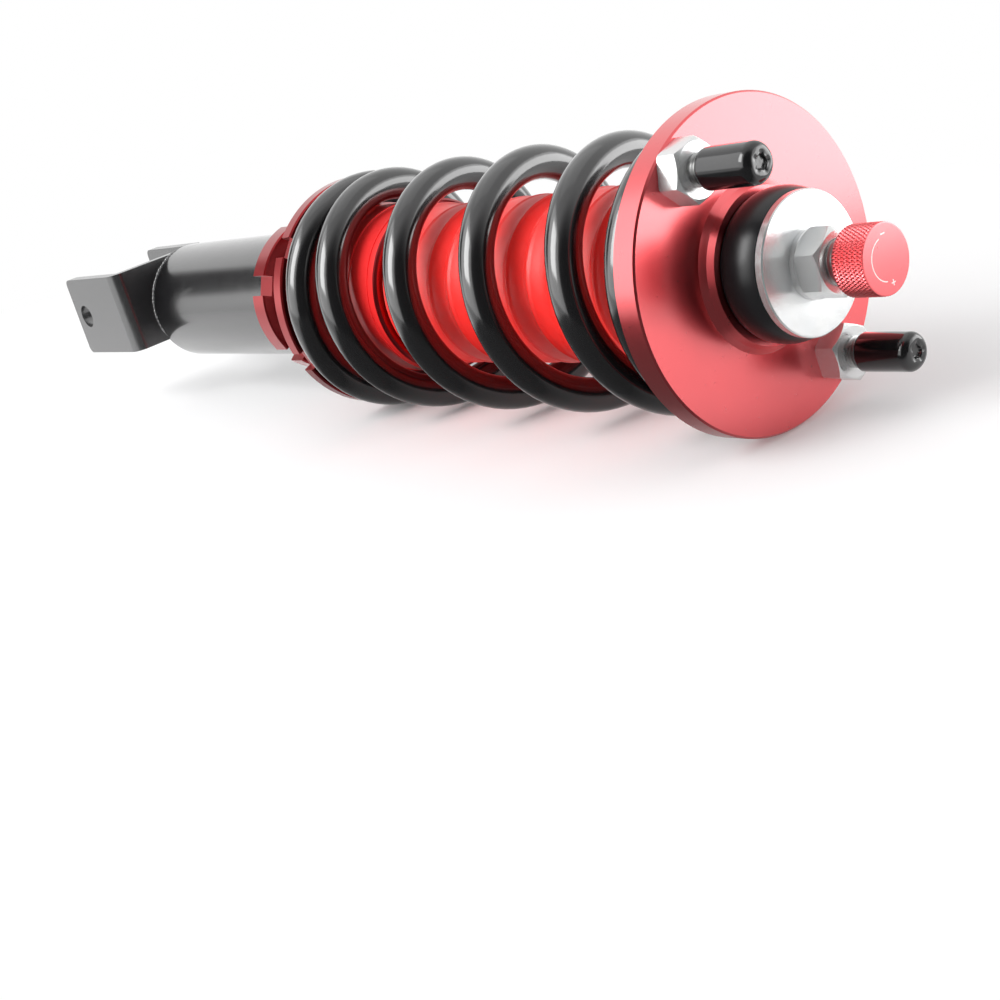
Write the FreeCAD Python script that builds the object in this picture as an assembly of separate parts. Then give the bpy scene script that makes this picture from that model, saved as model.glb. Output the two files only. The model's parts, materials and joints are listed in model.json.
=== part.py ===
import FreeCAD
import Part
import math
import os

# Coilover damper lying along X, in millimetres. The origin is the centre of the fork's bolt
# hole, +X runs along the damper to the top plate, and the fork bolt lies along Y.
# Every turned piece is drawn about the damper's own axis, and the whole damper is then set
# beside the fork by the offset below.
V = FreeCAD.Vector
ORIGIN = V(0, 0, 0)
ALONG = V(1, 0, 0)
AXIS_OFFSET = V(0, 15.0, -6.5)      # damper axis relative to the middle of the fork

# Driving dimensions, as distances from the fork bolt along the damper axis
BOLT_TO_WEB = 40.0                  # top side of the fork's web, where the tube starts
BRACKET_TUBE_END = 140.5
PERCH_BACK = 179.5                  # underside of the spring perch
PLATE_BACK = 380.7                  # spring side of the top plate
PLATE_FACE = 390.0                  # face that meets the car body
ROD_SHOULDER = 366.0                # where the rod steps down to its thread
STROKE = 55.0                       # rod travel from full extension

# Fork
FORK_GAP = 40.0
FORK_PLATE = 5.0
FORK_HEIGHT = 36.0
FORK_BEHIND_BOLT = 10.0
FORK_BEND = 5.5                     # outside radius of the two bends
FORK_CORNER = 3.0
BOLT_HOLE_R = 5.25                  # clearance hole for an M10 bolt

# Bracket tube and rings
TUBE_R = 25.75
TUBE_BASE = 4.0                     # thickness of its closed end
WELD_SIZE = 2.2
RING_R = 31.6
RING_LENGTH = 9.0
RING_SLOTS = 6
RING_SLOT_WIDTH = 8.1
RING_SLOT_DEPTH = 4.2
RING_SLOT_ANGLE = 156.5

# Damper body
BODY_R = 23.0                       # M46 thread
BORE_R = 20.0
BODY_START = 50.0
BUMP_STOP_LENGTH = 30.0
BUMP_STOP_TOP = ROD_SHOULDER - 1.0
WIPER_LIP = 1.0                     # how far the wiper stands out of the body
BODY_END = BUMP_STOP_TOP - BUMP_STOP_LENGTH - STROKE - WIPER_LIP - 1.0
GLAND_LENGTH = 24.0
THREAD_CLEARANCE = 0.06
FIT = 0.04                          # radial clearance of sliding pieces

# Spring perch
PERCH_R = 44.75
PERCH_RIM = 5.9
PERCH_NOTCHES = 6
PERCH_NOTCH_WIDTH = 8.2
PERCH_NOTCH_DEPTH = 3.8
PERCH_NOTCH_ANGLE = 140.2
COLLAR_R = 33.2                     # centres the spring
COLLAR_END = 196.0
HUB_R = 32.3
HUB_END = 231.0
HUB_THREAD_END = 204.0              # beyond it the hub is bored out to clear the body
HUB_RELIEF_R = 29.0
HUB_GROOVES = ((213.0, 6.0, 0.35), (225.5, 2.0, 0.3))   # start, width, depth
PAD_THICK = 1.0                     # rubber pad under the spring
PAD_RECESS = 0.8                    # how deep the pad sits in the perch
PAD_R = 41.6

# Spring: 12 mm wire, open ends of a gentle pitch
WIRE_R = 6.0
COIL_R = 40.0                       # mean radius
COIL_TURNS = 5.6
COIL_START_ANGLE = 76.3             # about the damper axis, from +Y towards +Z
END_PITCH = 4.5                     # advance per turn at the very ends
END_TURNS = 0.35                    # turns that keep the end pitch
RAMP_TURNS = 0.9                    # turns over which the full pitch builds up
ARCS_PER_TURN = 4

# Dust boot
BOOT_BOTTOM = 232.5
BOOT_RIM_END = 369.0
BOOT_DISC = 362.0                   # outer face of the end disc
BOOT_RIDGES = 11
BOOT_RIDGE_PITCH = 10.85
BOOT_LAST_RIDGE = 357.6
BOOT_RIDGE_R = 29.2
BOOT_VALLEY_R = 28.1
BOOT_RISE = 3.0                     # each ridge rises over this length and falls over the rest
BOOT_LIP_R = 30.4
BOOT_WALL = 1.6
BOOT_NECK = 4.0                     # from the rod to the disc's hole

# Rod and inner parts
ROD_R = 8.0
ROD_THREAD_R = 7.0
ROD_END = 423.5
ROD_BORE_R = 2.7
PISTON_LENGTH = 14.0
REBOUND_STOP_LENGTH = 8.0
REBOUND_STOP_GAP = 2.5              # from the piston to its rubber stop
PISTON_BACK = (BODY_END - GLAND_LENGTH - 0.5
               - REBOUND_STOP_LENGTH - REBOUND_STOP_GAP - PISTON_LENGTH)
PISTON_SEAT_R = 5.0

# Top mount stack
PLATE_R = 52.0
PLATE_BORE_R = 16.0
BOSS_BASE_R = 26.5
BOSS_R = 24.0
BOSS_HEIGHT = 4.0
BUSH_BULGE_R = 23.4
WASHER_R = 21.7
WASHER_BACK = 407.5
WASHER_THICK = 3.0
LOCK_WASHER_R = 10.6                # split spring washer under the rod nut
LOCK_WASHER_THICK = 2.0
LOCK_WASHER_SPLIT = 1.2
LOWER_WASHER_THICK = 2.5
SLEEVE_R = 10.0
ROD_NUT_FLATS = 19.0
ROD_NUT_HEIGHT = 8.3
ROD_NUT_ANGLE = 92.0

# Studs: M10, with nuts 17 mm across flats and vinyl caps
STUD_CIRCLE_R = 43.0
STUD_ANGLES = (122.9, 302.9)
STUD_R = 5.0
STUD_IN_NUT_R = 4.6                 # pitch radius, where the nut is wound on
STUD_TIP_R = 4.75                   # under the cap
STUD_SHANK_R = 5.6                  # pressed into the plate
STUD_NUT_FLATS = 17.0
STUD_NUT_HEIGHT = 8.0
STUD_NUT_ANGLES = (77.0, 154.3)
CAP_GAP = 4.0                       # bare thread between nut and cap
CAP_R = 6.2
CAP_LENGTH = 20.0
CAP_BORE_R = 4.81
CAP_END_WALL = 1.6

# Adjuster
KNOB_BACK = 425.8
KNOB_LENGTH = 11.3
KNOB_R = 10.5
KNOB_EDGE = 0.45
SHAFT_R = 2.65
KNOB_SCREW_ANGLE = -100.0
NEEDLE_TIP = PISTON_BACK - 6.0
NEEDLE_TOP = PISTON_BACK + 30.0
BLADE_LENGTH = 4.0                  # drive blade between shaft and needle
BLADE_WIDTH = 1.6

parts = {}


def keep(name, shape, on_axis=True):
    """Stores a piece, moved to the damper axis unless it is drawn about the fork."""
    if on_axis:
        shape = shape.copy()
        shape.translate(AXIS_OFFSET)
    parts[name] = shape


def turned(outline):
    """A solid of revolution about the damper axis from (x, radius) corners."""
    points = [V(x, 0, r) for x, r in outline]
    wire = Part.makePolygon(points + [points[0]])
    return Part.Face(wire).revolve(ORIGIN, ALONG, 360)


def turned_edges(edges):
    """A solid of revolution about the damper axis from edges that close a loop."""
    return Part.Face(Part.Wire(edges)).revolve(ORIGIN, ALONG, 360)


def cylinder(r, start, end, y=0.0, z=0.0):
    return Part.makeCylinder(r, end - start, V(start, y, z), ALONG)


def ring(inner, outer, start, end, chamfer=0.0):
    c = chamfer
    if not c:
        return turned([(start, inner), (start, outer), (end, outer), (end, inner)])
    return turned([(start, inner), (start, outer - c), (start + c, outer), (end - c, outer),
                   (end, outer - c), (end, inner)])


def polar(r, degrees):
    a = math.radians(degrees)
    return r * math.cos(a), r * math.sin(a)


def slot_cutters(count, first, r_outer, depth, width, start, end):
    """Radial blocks that cut spanner slots into a rim."""
    cutters = []
    for i in range(count):
        block = Part.makeBox(end - start + 2, depth + 4, width)
        block.translate(V(start - 1, r_outer - depth, -width / 2))
        block.rotate(ORIGIN, ALONG, first + i * 360.0 / count)
        cutters.append(block)
    return cutters


def hexagon(flats, bore, start, end, angle, y=0.0, z=0.0, crown=True):
    """A hex nut about an axis parallel to X, its first corner at the angle, crowned on top."""
    corner = flats / math.sqrt(3)
    points = [V(start, *polar(corner, angle + 60 * k)) for k in range(7)]
    nut = Part.Face(Part.makePolygon(points)).extrude(V(end - start, 0, 0))
    if crown:
        drop = (corner - flats / 2) * 0.8
        low = drop * 0.5
        cone = turned([(start, 0), (start, corner - low * 0.6), (start + low, corner + 0.1),
                       (end - drop, corner + 0.1), (end, flats / 2 * 0.97), (end, 0)])
        nut = nut.common(cone)
    nut = nut.cut(Part.makeCylinder(bore, end - start + 2, V(start - 1, 0, 0), ALONG))
    nut.translate(V(0, y, z))
    return nut


def fork():
    outer_half = FORK_GAP / 2 + FORK_PLATE
    inner_half = FORK_GAP / 2
    back = -FORK_BEHIND_BOLT
    front = BOLT_TO_WEB
    web_back = front - FORK_PLATE
    inner_bend = FORK_BEND - FORK_PLATE
    base = -FORK_HEIGHT / 2
    outer = Part.makeBox(front - back, 2 * outer_half, FORK_HEIGHT, V(back, -outer_half, base))
    bends = [e for e in outer.Edges
             if abs(e.CenterOfMass.x - front) < 0.01
             and abs(abs(e.CenterOfMass.y) - outer_half) < 0.01]
    outer = outer.makeFillet(FORK_BEND, bends)
    gap = Part.makeBox(web_back - back + 1, 2 * inner_half, FORK_HEIGHT + 2,
                       V(back - 1, -inner_half, base - 1))
    corners = [e for e in gap.Edges
               if abs(e.CenterOfMass.x - web_back) < 0.01
               and abs(abs(e.CenterOfMass.y) - inner_half) < 0.01]
    gap = gap.makeFillet(inner_bend, corners)
    plate = outer.cut(gap)
    tips = [e for e in plate.Edges
            if abs(e.CenterOfMass.x - back) < 0.01
            and abs(abs(e.CenterOfMass.z) - FORK_HEIGHT / 2) < 0.01]
    plate = plate.makeFillet(FORK_CORNER, tips)
    hole = Part.makeCylinder(BOLT_HOLE_R, 2 * outer_half + 2, V(0, -outer_half - 1, 0), V(0, 1, 0))
    return plate.cut(hole).removeSplitter()


def weld_bead():
    """A rounded bead round the tube's foot, where the web backs it."""
    foot = BOLT_TO_WEB
    size = WELD_SIZE
    bead = turned([(foot, TUBE_R), (foot, TUBE_R + size), (foot + 0.4 * size, TUBE_R + 0.85 * size),
                   (foot + 0.85 * size, TUBE_R + 0.4 * size), (foot + size, TUBE_R)])
    outer_half = FORK_GAP / 2 + FORK_PLATE
    web = Part.makeBox(10, 2 * (outer_half - FORK_BEND), FORK_HEIGHT,
                       V(foot - 2, -outer_half + FORK_BEND, -FORK_HEIGHT / 2))
    web.translate(-AXIS_OFFSET)
    return bead.common(web)


def lock_ring(start):
    body = ring(BODY_R + THREAD_CLEARANCE, RING_R, start, start + RING_LENGTH, 0.6)
    for cutter in slot_cutters(RING_SLOTS, RING_SLOT_ANGLE, RING_R, RING_SLOT_DEPTH,
                               RING_SLOT_WIDTH, start, start + RING_LENGTH):
        body = body.cut(cutter)
    return body


def perch():
    rim_end = PERCH_BACK + PERCH_RIM
    bore = BODY_R + THREAD_CLEARANCE
    body = turned([(PERCH_BACK, bore), (PERCH_BACK, PERCH_R - 0.6), (PERCH_BACK + 0.6, PERCH_R),
                   (rim_end - 0.6, PERCH_R), (rim_end, PERCH_R - 0.6), (rim_end, PAD_R + 0.2),
                   (rim_end - PAD_RECESS, PAD_R + 0.2), (rim_end - PAD_RECESS, COLLAR_R),
                   (COLLAR_END, COLLAR_R), (COLLAR_END + 2.0, HUB_R), (HUB_END - 0.8, HUB_R),
                   (HUB_END, HUB_R - 0.8), (HUB_END, HUB_RELIEF_R),
                   (HUB_THREAD_END + 4.0, HUB_RELIEF_R), (HUB_THREAD_END, bore)])
    for start, width, depth in HUB_GROOVES:
        body = body.cut(ring(HUB_R - depth, HUB_R + 1, start, start + width))
    for cutter in slot_cutters(PERCH_NOTCHES, PERCH_NOTCH_ANGLE, PERCH_R, PERCH_NOTCH_DEPTH,
                               PERCH_NOTCH_WIDTH, PERCH_BACK, rim_end):
        body = body.cut(cutter)
    return body


def ramp_area(s):
    """The area under a smooth 0 to 1 ramp, up to a share s of its length."""
    s = min(max(s, 0.0), 1.0)
    return s ** 3 - s ** 4 / 2


def extra_turns(turn):
    """How many turns' worth of full pitch lie between the spring's end and this turn."""
    past_ramp = max(0.0, turn - END_TURNS - RAMP_TURNS)
    return RAMP_TURNS * ramp_area((turn - END_TURNS) / RAMP_TURNS) + past_ramp


SPRING_START = PERCH_BACK + PERCH_RIM - PAD_RECESS + PAD_THICK + WIRE_R
SPRING_END = PLATE_BACK - WIRE_R - 0.05


def spring_height(turn):
    """Distance along the axis after so many turns. The two halves mirror each other."""
    half = COIL_TURNS / 2
    rise = SPRING_END - SPRING_START
    extra_pitch = (rise - END_PITCH * COIL_TURNS) / (2 * extra_turns(half))
    if turn <= half:
        return SPRING_START + END_PITCH * turn + extra_pitch * extra_turns(turn)
    back = COIL_TURNS - turn
    return SPRING_END - END_PITCH * back - extra_pitch * extra_turns(back)


def spring_point(turn):
    y, z = polar(COIL_R, COIL_START_ANGLE + 360 * turn)
    return V(spring_height(turn), y, z)


def spring_direction(turn):
    """Unit tangent of the coil's centre line."""
    step = 1e-4
    low = max(0.0, turn - step)
    high = min(COIL_TURNS, turn + step)
    a = math.radians(COIL_START_ANGLE + 360 * turn)
    slope = (spring_height(high) - spring_height(low)) / (high - low)
    around = 2 * math.pi * COIL_R
    return V(slope, -around * math.sin(a), around * math.cos(a)).normalize()


def biarc(p, p_dir, q, q_dir):
    """Two arcs that meet smoothly and leave p and reach q in the given directions."""
    chord = q - p
    both = p_dir + q_dir
    a = 2 * (1 - p_dir.dot(q_dir))
    b = 2 * chord.dot(both)
    c = -chord.dot(chord)
    reach = (-b + math.sqrt(b * b - 4 * a * c)) / (2 * a)
    p_handle = p + p_dir * reach
    q_handle = q - q_dir * reach
    joint = (p_handle + q_handle) * 0.5
    edges = []
    for start, handle, end in ((p, p_handle, joint), (joint, q_handle, q)):
        middle = (start + end) * 0.5
        across = handle - middle
        half_chord = (end - start).Length / 2
        side = (handle - start).Length
        sag = half_chord * (side - half_chord) / across.Length
        edges.append(Part.Arc(start, middle + across.normalize() * sag, end).toShape())
    return edges


def coil_spring():
    count = round(COIL_TURNS * ARCS_PER_TURN)
    stops = [COIL_TURNS * i / count for i in range(count + 1)]
    edges = []
    for a, b in zip(stops, stops[1:]):
        edges += biarc(spring_point(a), spring_direction(a), spring_point(b), spring_direction(b))
    path = Part.Wire(edges)
    section = Part.Wire(Part.makeCircle(WIRE_R, spring_point(0), spring_direction(0)))
    return path.makePipeShell([section], True, False)


def spring_gap():
    """Least clear gap between neighbouring turns, measured on points of the centre line."""
    per_turn = 48
    points = [spring_point(i / per_turn) for i in range(int(COIL_TURNS * per_turn) + 1)]
    least = min((points[i] - points[j]).Length
                for i in range(len(points))
                for j in range(i + per_turn * 3 // 4, min(len(points), i + per_turn * 5 // 4)))
    return least - 2 * WIRE_R


def dust_boot():
    """Bellows: a cuff with a lip, soft ridges, and a recessed end disc held by the bump stop."""
    outer = [(BOOT_BOTTOM, BOOT_LIP_R - 0.8), (BOOT_BOTTOM + 0.8, BOOT_LIP_R),
             (BOOT_BOTTOM + 2.6, BOOT_LIP_R), (BOOT_BOTTOM + 3.6, BOOT_LIP_R - 0.8)]
    first = BOOT_LAST_RIDGE - (BOOT_RIDGES - 1) * BOOT_RIDGE_PITCH
    height = BOOT_RIDGE_R - BOOT_VALLEY_R
    for i in range(BOOT_RIDGES):
        crest = first + i * BOOT_RIDGE_PITCH
        outer += [(crest - BOOT_RISE, BOOT_VALLEY_R), (crest - 0.7, BOOT_RIDGE_R - 0.1 * height),
                  (crest + 1.0, BOOT_RIDGE_R - 0.05 * height),
                  (crest + 4.6, BOOT_RIDGE_R - 0.7 * height)]
    outer += [(BOOT_RIM_END - 1.0, BOOT_VALLEY_R + 0.8), (BOOT_RIM_END, BOOT_VALLEY_R),
              (BOOT_RIM_END, BOOT_VALLEY_R - BOOT_WALL)]
    hole_r = ROD_R + BOOT_NECK
    inner_r = BOOT_VALLEY_R - BOOT_WALL
    inner = [(BOOT_DISC, inner_r), (BOOT_DISC, hole_r), (BOOT_DISC - BOOT_WALL, hole_r),
             (BOOT_DISC - BOOT_WALL, inner_r), (BOOT_BOTTOM, inner_r)]
    return turned(outer + inner)


def upper_bush():
    """Rubber bush with a bulging side above the boss and a neck in the plate's bore."""
    seat = PLATE_FACE + BOSS_HEIGHT + 0.3
    neck_r = PLATE_BORE_R - 0.1
    middle = (seat + WASHER_BACK) / 2
    low_r = BUSH_BULGE_R - 2.6
    side = Part.Arc(V(seat, 0, low_r), V(middle, 0, BUSH_BULGE_R), V(WASHER_BACK, 0, low_r))
    neck_end = (PLATE_BACK + PLATE_FACE) / 2
    corners = [V(WASHER_BACK, 0, low_r), V(WASHER_BACK, 0, SLEEVE_R), V(neck_end, 0, SLEEVE_R),
               V(neck_end, 0, neck_r), V(seat, 0, neck_r), V(seat, 0, low_r)]
    lines = [Part.LineSegment(a, b).toShape() for a, b in zip(corners, corners[1:])]
    return turned_edges([side.toShape()] + lines)


def lower_bush():
    top = PLATE_BACK - 0.3
    base = ROD_SHOULDER + LOWER_WASHER_THICK
    neck_end = (PLATE_BACK + PLATE_FACE) / 2
    neck_r = PLATE_BORE_R - 0.1
    return turned([(base, SLEEVE_R), (base, 18.0), (base + 3.0, 20.5), (top - 2.0, 20.5),
                   (top, 19.0), (top, neck_r), (neck_end, neck_r), (neck_end, SLEEVE_R)])


def top_plate():
    """Round plate with a stepped boss, bored for the bushes and drilled for two studs."""
    plate = turned([
        (PLATE_BACK, PLATE_BORE_R), (PLATE_BACK, PLATE_R - 0.8), (PLATE_BACK + 0.8, PLATE_R),
        (PLATE_FACE - 0.6, PLATE_R), (PLATE_FACE, PLATE_R - 0.6), (PLATE_FACE, BOSS_BASE_R),
        (PLATE_FACE + 0.6, BOSS_BASE_R - 0.4), (PLATE_FACE + 2.0, BOSS_BASE_R - 1.4),
        (PLATE_FACE + BOSS_HEIGHT, BOSS_R), (PLATE_FACE + BOSS_HEIGHT, PLATE_BORE_R)])
    for angle in STUD_ANGLES:
        y, z = polar(STUD_CIRCLE_R, angle)
        plate = plate.cut(cylinder(STUD_SHANK_R, PLATE_BACK - 1, PLATE_FACE + 1, y, z))
    return plate


def stud(angle):
    """Pressed-in stud: a shank in the plate, then thread up to a chamfered tip."""
    y, z = polar(STUD_CIRCLE_R, angle)
    nut_top = PLATE_FACE + STUD_NUT_HEIGHT
    bare_end = nut_top + CAP_GAP
    tip = bare_end + CAP_LENGTH - CAP_END_WALL - 2.0
    body = turned([(PLATE_BACK, 0), (PLATE_BACK, STUD_SHANK_R), (PLATE_FACE, STUD_SHANK_R),
                   (PLATE_FACE, STUD_IN_NUT_R),
                   (nut_top, STUD_IN_NUT_R), (nut_top, STUD_R), (bare_end, STUD_R),
                   (bare_end, STUD_TIP_R), (tip - 1.2, STUD_TIP_R), (tip, STUD_TIP_R - 1.2), (tip, 0)])
    body.translate(V(0, y, z))
    return body


def stud_cap(angle):
    """Vinyl cap: a thin tube with a rounded, dimpled end."""
    y, z = polar(STUD_CIRCLE_R, angle)
    mouth = PLATE_FACE + STUD_NUT_HEIGHT + CAP_GAP
    end = mouth + CAP_LENGTH
    bore = CAP_BORE_R
    round_r = 2.6
    blind = end - CAP_END_WALL
    outline = [V(mouth, 0, bore), V(mouth, 0, CAP_R), V(end - round_r, 0, CAP_R)]
    lines = [Part.LineSegment(a, b).toShape() for a, b in zip(outline, outline[1:])]
    q = round_r * math.sqrt(0.5)
    corner = Part.Arc(V(end - round_r, 0, CAP_R), V(end - round_r + q, 0, CAP_R - round_r + q),
                      V(end, 0, CAP_R - round_r)).toShape()
    tail = [V(end, 0, CAP_R - round_r), V(end - 0.5, 0, 0), V(blind, 0, 0),
            V(blind, 0, bore - 1.2), V(blind - 1.2, 0, bore), V(mouth, 0, bore)]
    more = [Part.LineSegment(a, b).toShape() for a, b in zip(tail, tail[1:])]
    body = turned_edges(lines + [corner] + more)
    body.translate(V(0, y, z))
    return body


def piston_rod():
    stub = 2.0
    seat_end = PISTON_BACK + PISTON_LENGTH + stub
    return turned([
        (PISTON_BACK - 12.0, ROD_BORE_R), (PISTON_BACK - 12.0, PISTON_SEAT_R), (seat_end, PISTON_SEAT_R),
        (seat_end, ROD_R), (ROD_SHOULDER, ROD_R), (ROD_SHOULDER, ROD_THREAD_R),
        (ROD_END - 1.2, ROD_THREAD_R), (ROD_END, ROD_THREAD_R - 1.2), (ROD_END, ROD_BORE_R)])


def shim_stack(start, direction, radii, thickness=0.3):
    """Thin discs on the rod's seat, laid one on the next."""
    discs = []
    x = start
    for r in radii:
        a, b = sorted((x, x + direction * thickness))
        discs.append(ring(PISTON_SEAT_R + FIT, r, a, b))
        x += direction * (thickness + 0.02)
    return Part.makeCompound(discs)


def piston():
    body = ring(PISTON_SEAT_R + 0.02, BORE_R - 0.6, PISTON_BACK, PISTON_BACK + PISTON_LENGTH, 0.5)
    groove = ring(BORE_R - 2.0, BORE_R + 1, PISTON_BACK + 3, PISTON_BACK + 11)
    body = body.cut(groove)
    for i in range(6):
        y, z = polar(12.0, 60 * i)
        body = body.cut(cylinder(2.2, PISTON_BACK - 1, PISTON_BACK + PISTON_LENGTH + 1, y, z))
    return body


def knob():
    """Dial with a plain round face; its rim is knurled in the finished part."""
    end = KNOB_BACK + KNOB_LENGTH
    edge = KNOB_EDGE
    body = turned([(KNOB_BACK, SHAFT_R + 0.02), (KNOB_BACK, KNOB_R - edge), (KNOB_BACK + edge, KNOB_R),
                   (end - edge, KNOB_R), (end, KNOB_R - edge), (end, 0), (end - 3.0, 0),
                   (end - 3.0, SHAFT_R + 0.02)])
    screw_hole = Part.makeCylinder(1.5, KNOB_R, V(KNOB_BACK + 4.0, 0, SHAFT_R - 0.2), V(0, 0, 1))
    screw_hole.rotate(ORIGIN, ALONG, KNOB_SCREW_ANGLE)
    return body.cut(screw_hole)


def knob_screw():
    screw = Part.makeCylinder(1.48, 4.0, V(KNOB_BACK + 4.0, 0, SHAFT_R), V(0, 0, 1))
    socket = Part.makeCylinder(0.75, 2.0, V(KNOB_BACK + 4.0, 0, SHAFT_R + 2.6), V(0, 0, 1))
    screw = screw.cut(socket).cut(cylinder(SHAFT_R + 0.01, KNOB_BACK, KNOB_BACK + KNOB_LENGTH))
    screw.rotate(ORIGIN, ALONG, KNOB_SCREW_ANGLE)
    return screw


def lock_washer(start):
    """Split spring washer, cut through at one place."""
    body = ring(ROD_THREAD_R + 0.1, LOCK_WASHER_R, start, start + LOCK_WASHER_THICK, 0.2)
    split = Part.makeBox(LOCK_WASHER_THICK + 2, LOCK_WASHER_R + 1, LOCK_WASHER_SPLIT,
                         V(start - 1, 0, -LOCK_WASHER_SPLIT / 2))
    split.rotate(ORIGIN, ALONG, 30)
    return body.cut(split)


def drive_blade(start, end, width, half_height=SHAFT_R - 0.3):
    return Part.makeBox(end - start, width, 2 * half_height, V(start, -width / 2, -half_height))


# Lower bracket
keep("fork_bracket", fork(), on_axis=False)
keep("bracket_tube", turned([
    (BOLT_TO_WEB, 0), (BOLT_TO_WEB, TUBE_R), (BRACKET_TUBE_END, TUBE_R),
    (BRACKET_TUBE_END, BODY_R + THREAD_CLEARANCE),
    (BOLT_TO_WEB + TUBE_BASE, BODY_R + THREAD_CLEARANCE), (BOLT_TO_WEB + TUBE_BASE, 0)]))
keep("weld_bead", weld_bead())
keep("bracket_lock_ring", lock_ring(BRACKET_TUBE_END))

# Damper body
gland_start = BODY_END - GLAND_LENGTH
keep("damper_tube", ring(BORE_R, BODY_R, BODY_START, BODY_END, 0.6))
keep("base_plug", turned([(BODY_START + 2, 3.0), (BODY_START + 2, BORE_R - 0.02),
                          (BODY_START + 12, BORE_R - 0.02), (BODY_START + 12, 3.0)]))
keep("gas_valve", cylinder(2.96, BODY_START + 3, BODY_START + 11))
keep("gland", ring(ROD_R + 2.0, BORE_R - 0.02, gland_start, BODY_END - 1.5, 0.3)
     .cut(ring(BORE_R - 2.5, BORE_R + 1, gland_start + 8, gland_start + 12))
     .cut(ring(ROD_R, ROD_R + 4.5, gland_start + 16, BODY_END)))
keep("gland_oring", ring(BORE_R - 2.45, BORE_R - 0.05, gland_start + 8.3, gland_start + 11.7))
keep("guide_bush", ring(ROD_R + FIT, ROD_R + 1.98, gland_start + 1, gland_start + 14))
keep("rod_seal", ring(ROD_R + FIT, ROD_R + 4.4, gland_start + 16.1, gland_start + 20))
keep("wiper", turned([(gland_start + 20.2, ROD_R + FIT), (gland_start + 20.2, ROD_R + 4.4),
                      (BODY_END - 1.5, ROD_R + 4.4), (BODY_END + WIPER_LIP, ROD_R + 1.4),
                      (BODY_END + WIPER_LIP, ROD_R + FIT)]))
keep("dust_boot", dust_boot())

# Gas side
GAS_PISTON_BACK = 92.0
keep("gas_piston", ring(0.0, BORE_R - FIT, GAS_PISTON_BACK, GAS_PISTON_BACK + 14, 0.4)
     .cut(ring(BORE_R - 2.5, BORE_R + 1, GAS_PISTON_BACK + 5, GAS_PISTON_BACK + 9)))
keep("gas_piston_seal", ring(BORE_R - 2.45, BORE_R - FIT, GAS_PISTON_BACK + 5.3, GAS_PISTON_BACK + 8.7))

# Spring seat
keep("spring_perch", perch())
keep("perch_lock_ring", lock_ring(PERCH_BACK - RING_LENGTH))
rim_face = PERCH_BACK + PERCH_RIM
pad_seat = rim_face - PAD_RECESS
keep("spring_pad", ring(COLLAR_R + 0.2, PAD_R, pad_seat, pad_seat + PAD_THICK))
spring = coil_spring()
keep("coil_spring", spring)

# Rod and piston
shim_front = PISTON_BACK + PISTON_LENGTH
keep("piston_rod", piston_rod())
keep("piston", piston())
keep("piston_band", ring(BORE_R - 1.95, BORE_R - FIT, PISTON_BACK + 3.1, PISTON_BACK + 10.9))
keep("compression_shims", shim_stack(shim_front + 0.02, 1, (14.0, 12.0, 10.0)))
keep("rebound_shims", shim_stack(PISTON_BACK - 0.02, -1, (14.0, 12.5, 11.0, 9.5)))
keep("piston_nut", hexagon(13.0, PISTON_SEAT_R + 0.02, PISTON_BACK - 9.5, PISTON_BACK - 1.4, 90))
stop_start = shim_front + REBOUND_STOP_GAP
keep("rebound_stop", ring(ROD_R + 0.02, 14.0, stop_start, stop_start + REBOUND_STOP_LENGTH, 1.0))
bump_start = BUMP_STOP_TOP - BUMP_STOP_LENGTH
keep("bump_stop", turned([
    (bump_start, ROD_R + 0.05), (bump_start, 13.0), (bump_start + 4, 16.0), (bump_start + 10, 16.0),
    (bump_start + 13, 13.5), (bump_start + 16, 16.5), (bump_start + 29, 17.5),
    (bump_start + 30, 16.5), (bump_start + 30, ROD_R + 0.05)]).cut(
        ring(ROD_R + BOOT_NECK - 0.4, 30.0, BOOT_DISC - BOOT_WALL - 0.3, BOOT_DISC + 0.3)))

# Top mount
washer_end = WASHER_BACK + WASHER_THICK
bush_seat = ROD_SHOULDER + LOWER_WASHER_THICK
keep("lower_washer", ring(ROD_THREAD_R + 0.1, 20.0, ROD_SHOULDER, bush_seat, 0.3))
keep("lower_bush", lower_bush())
keep("mount_sleeve", ring(ROD_THREAD_R + 0.1, SLEEVE_R - 0.02, bush_seat, WASHER_BACK))
keep("upper_bush", upper_bush())
keep("upper_washer", ring(ROD_THREAD_R + 0.1, WASHER_R, WASHER_BACK, washer_end, 0.4))
keep("lock_washer", lock_washer(washer_end))
nut_seat = washer_end + LOCK_WASHER_THICK
keep("rod_nut", hexagon(ROD_NUT_FLATS, ROD_THREAD_R + 0.02, nut_seat, nut_seat + ROD_NUT_HEIGHT,
                        ROD_NUT_ANGLE))
keep("top_plate", top_plate())
keep("studs", Part.makeCompound([stud(a) for a in STUD_ANGLES]))
nuts = []
for around, corner_angle in zip(STUD_ANGLES, STUD_NUT_ANGLES):
    nut_y, nut_z = polar(STUD_CIRCLE_R, around)
    nuts.append(hexagon(STUD_NUT_FLATS, STUD_IN_NUT_R + 0.02, PLATE_FACE, PLATE_FACE + STUD_NUT_HEIGHT,
                        corner_angle, nut_y, nut_z))
keep("stud_nuts", Part.makeCompound(nuts))
keep("stud_cap_upper", stud_cap(STUD_ANGLES[0]))
keep("stud_cap_lower", stud_cap(STUD_ANGLES[1]))

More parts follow.
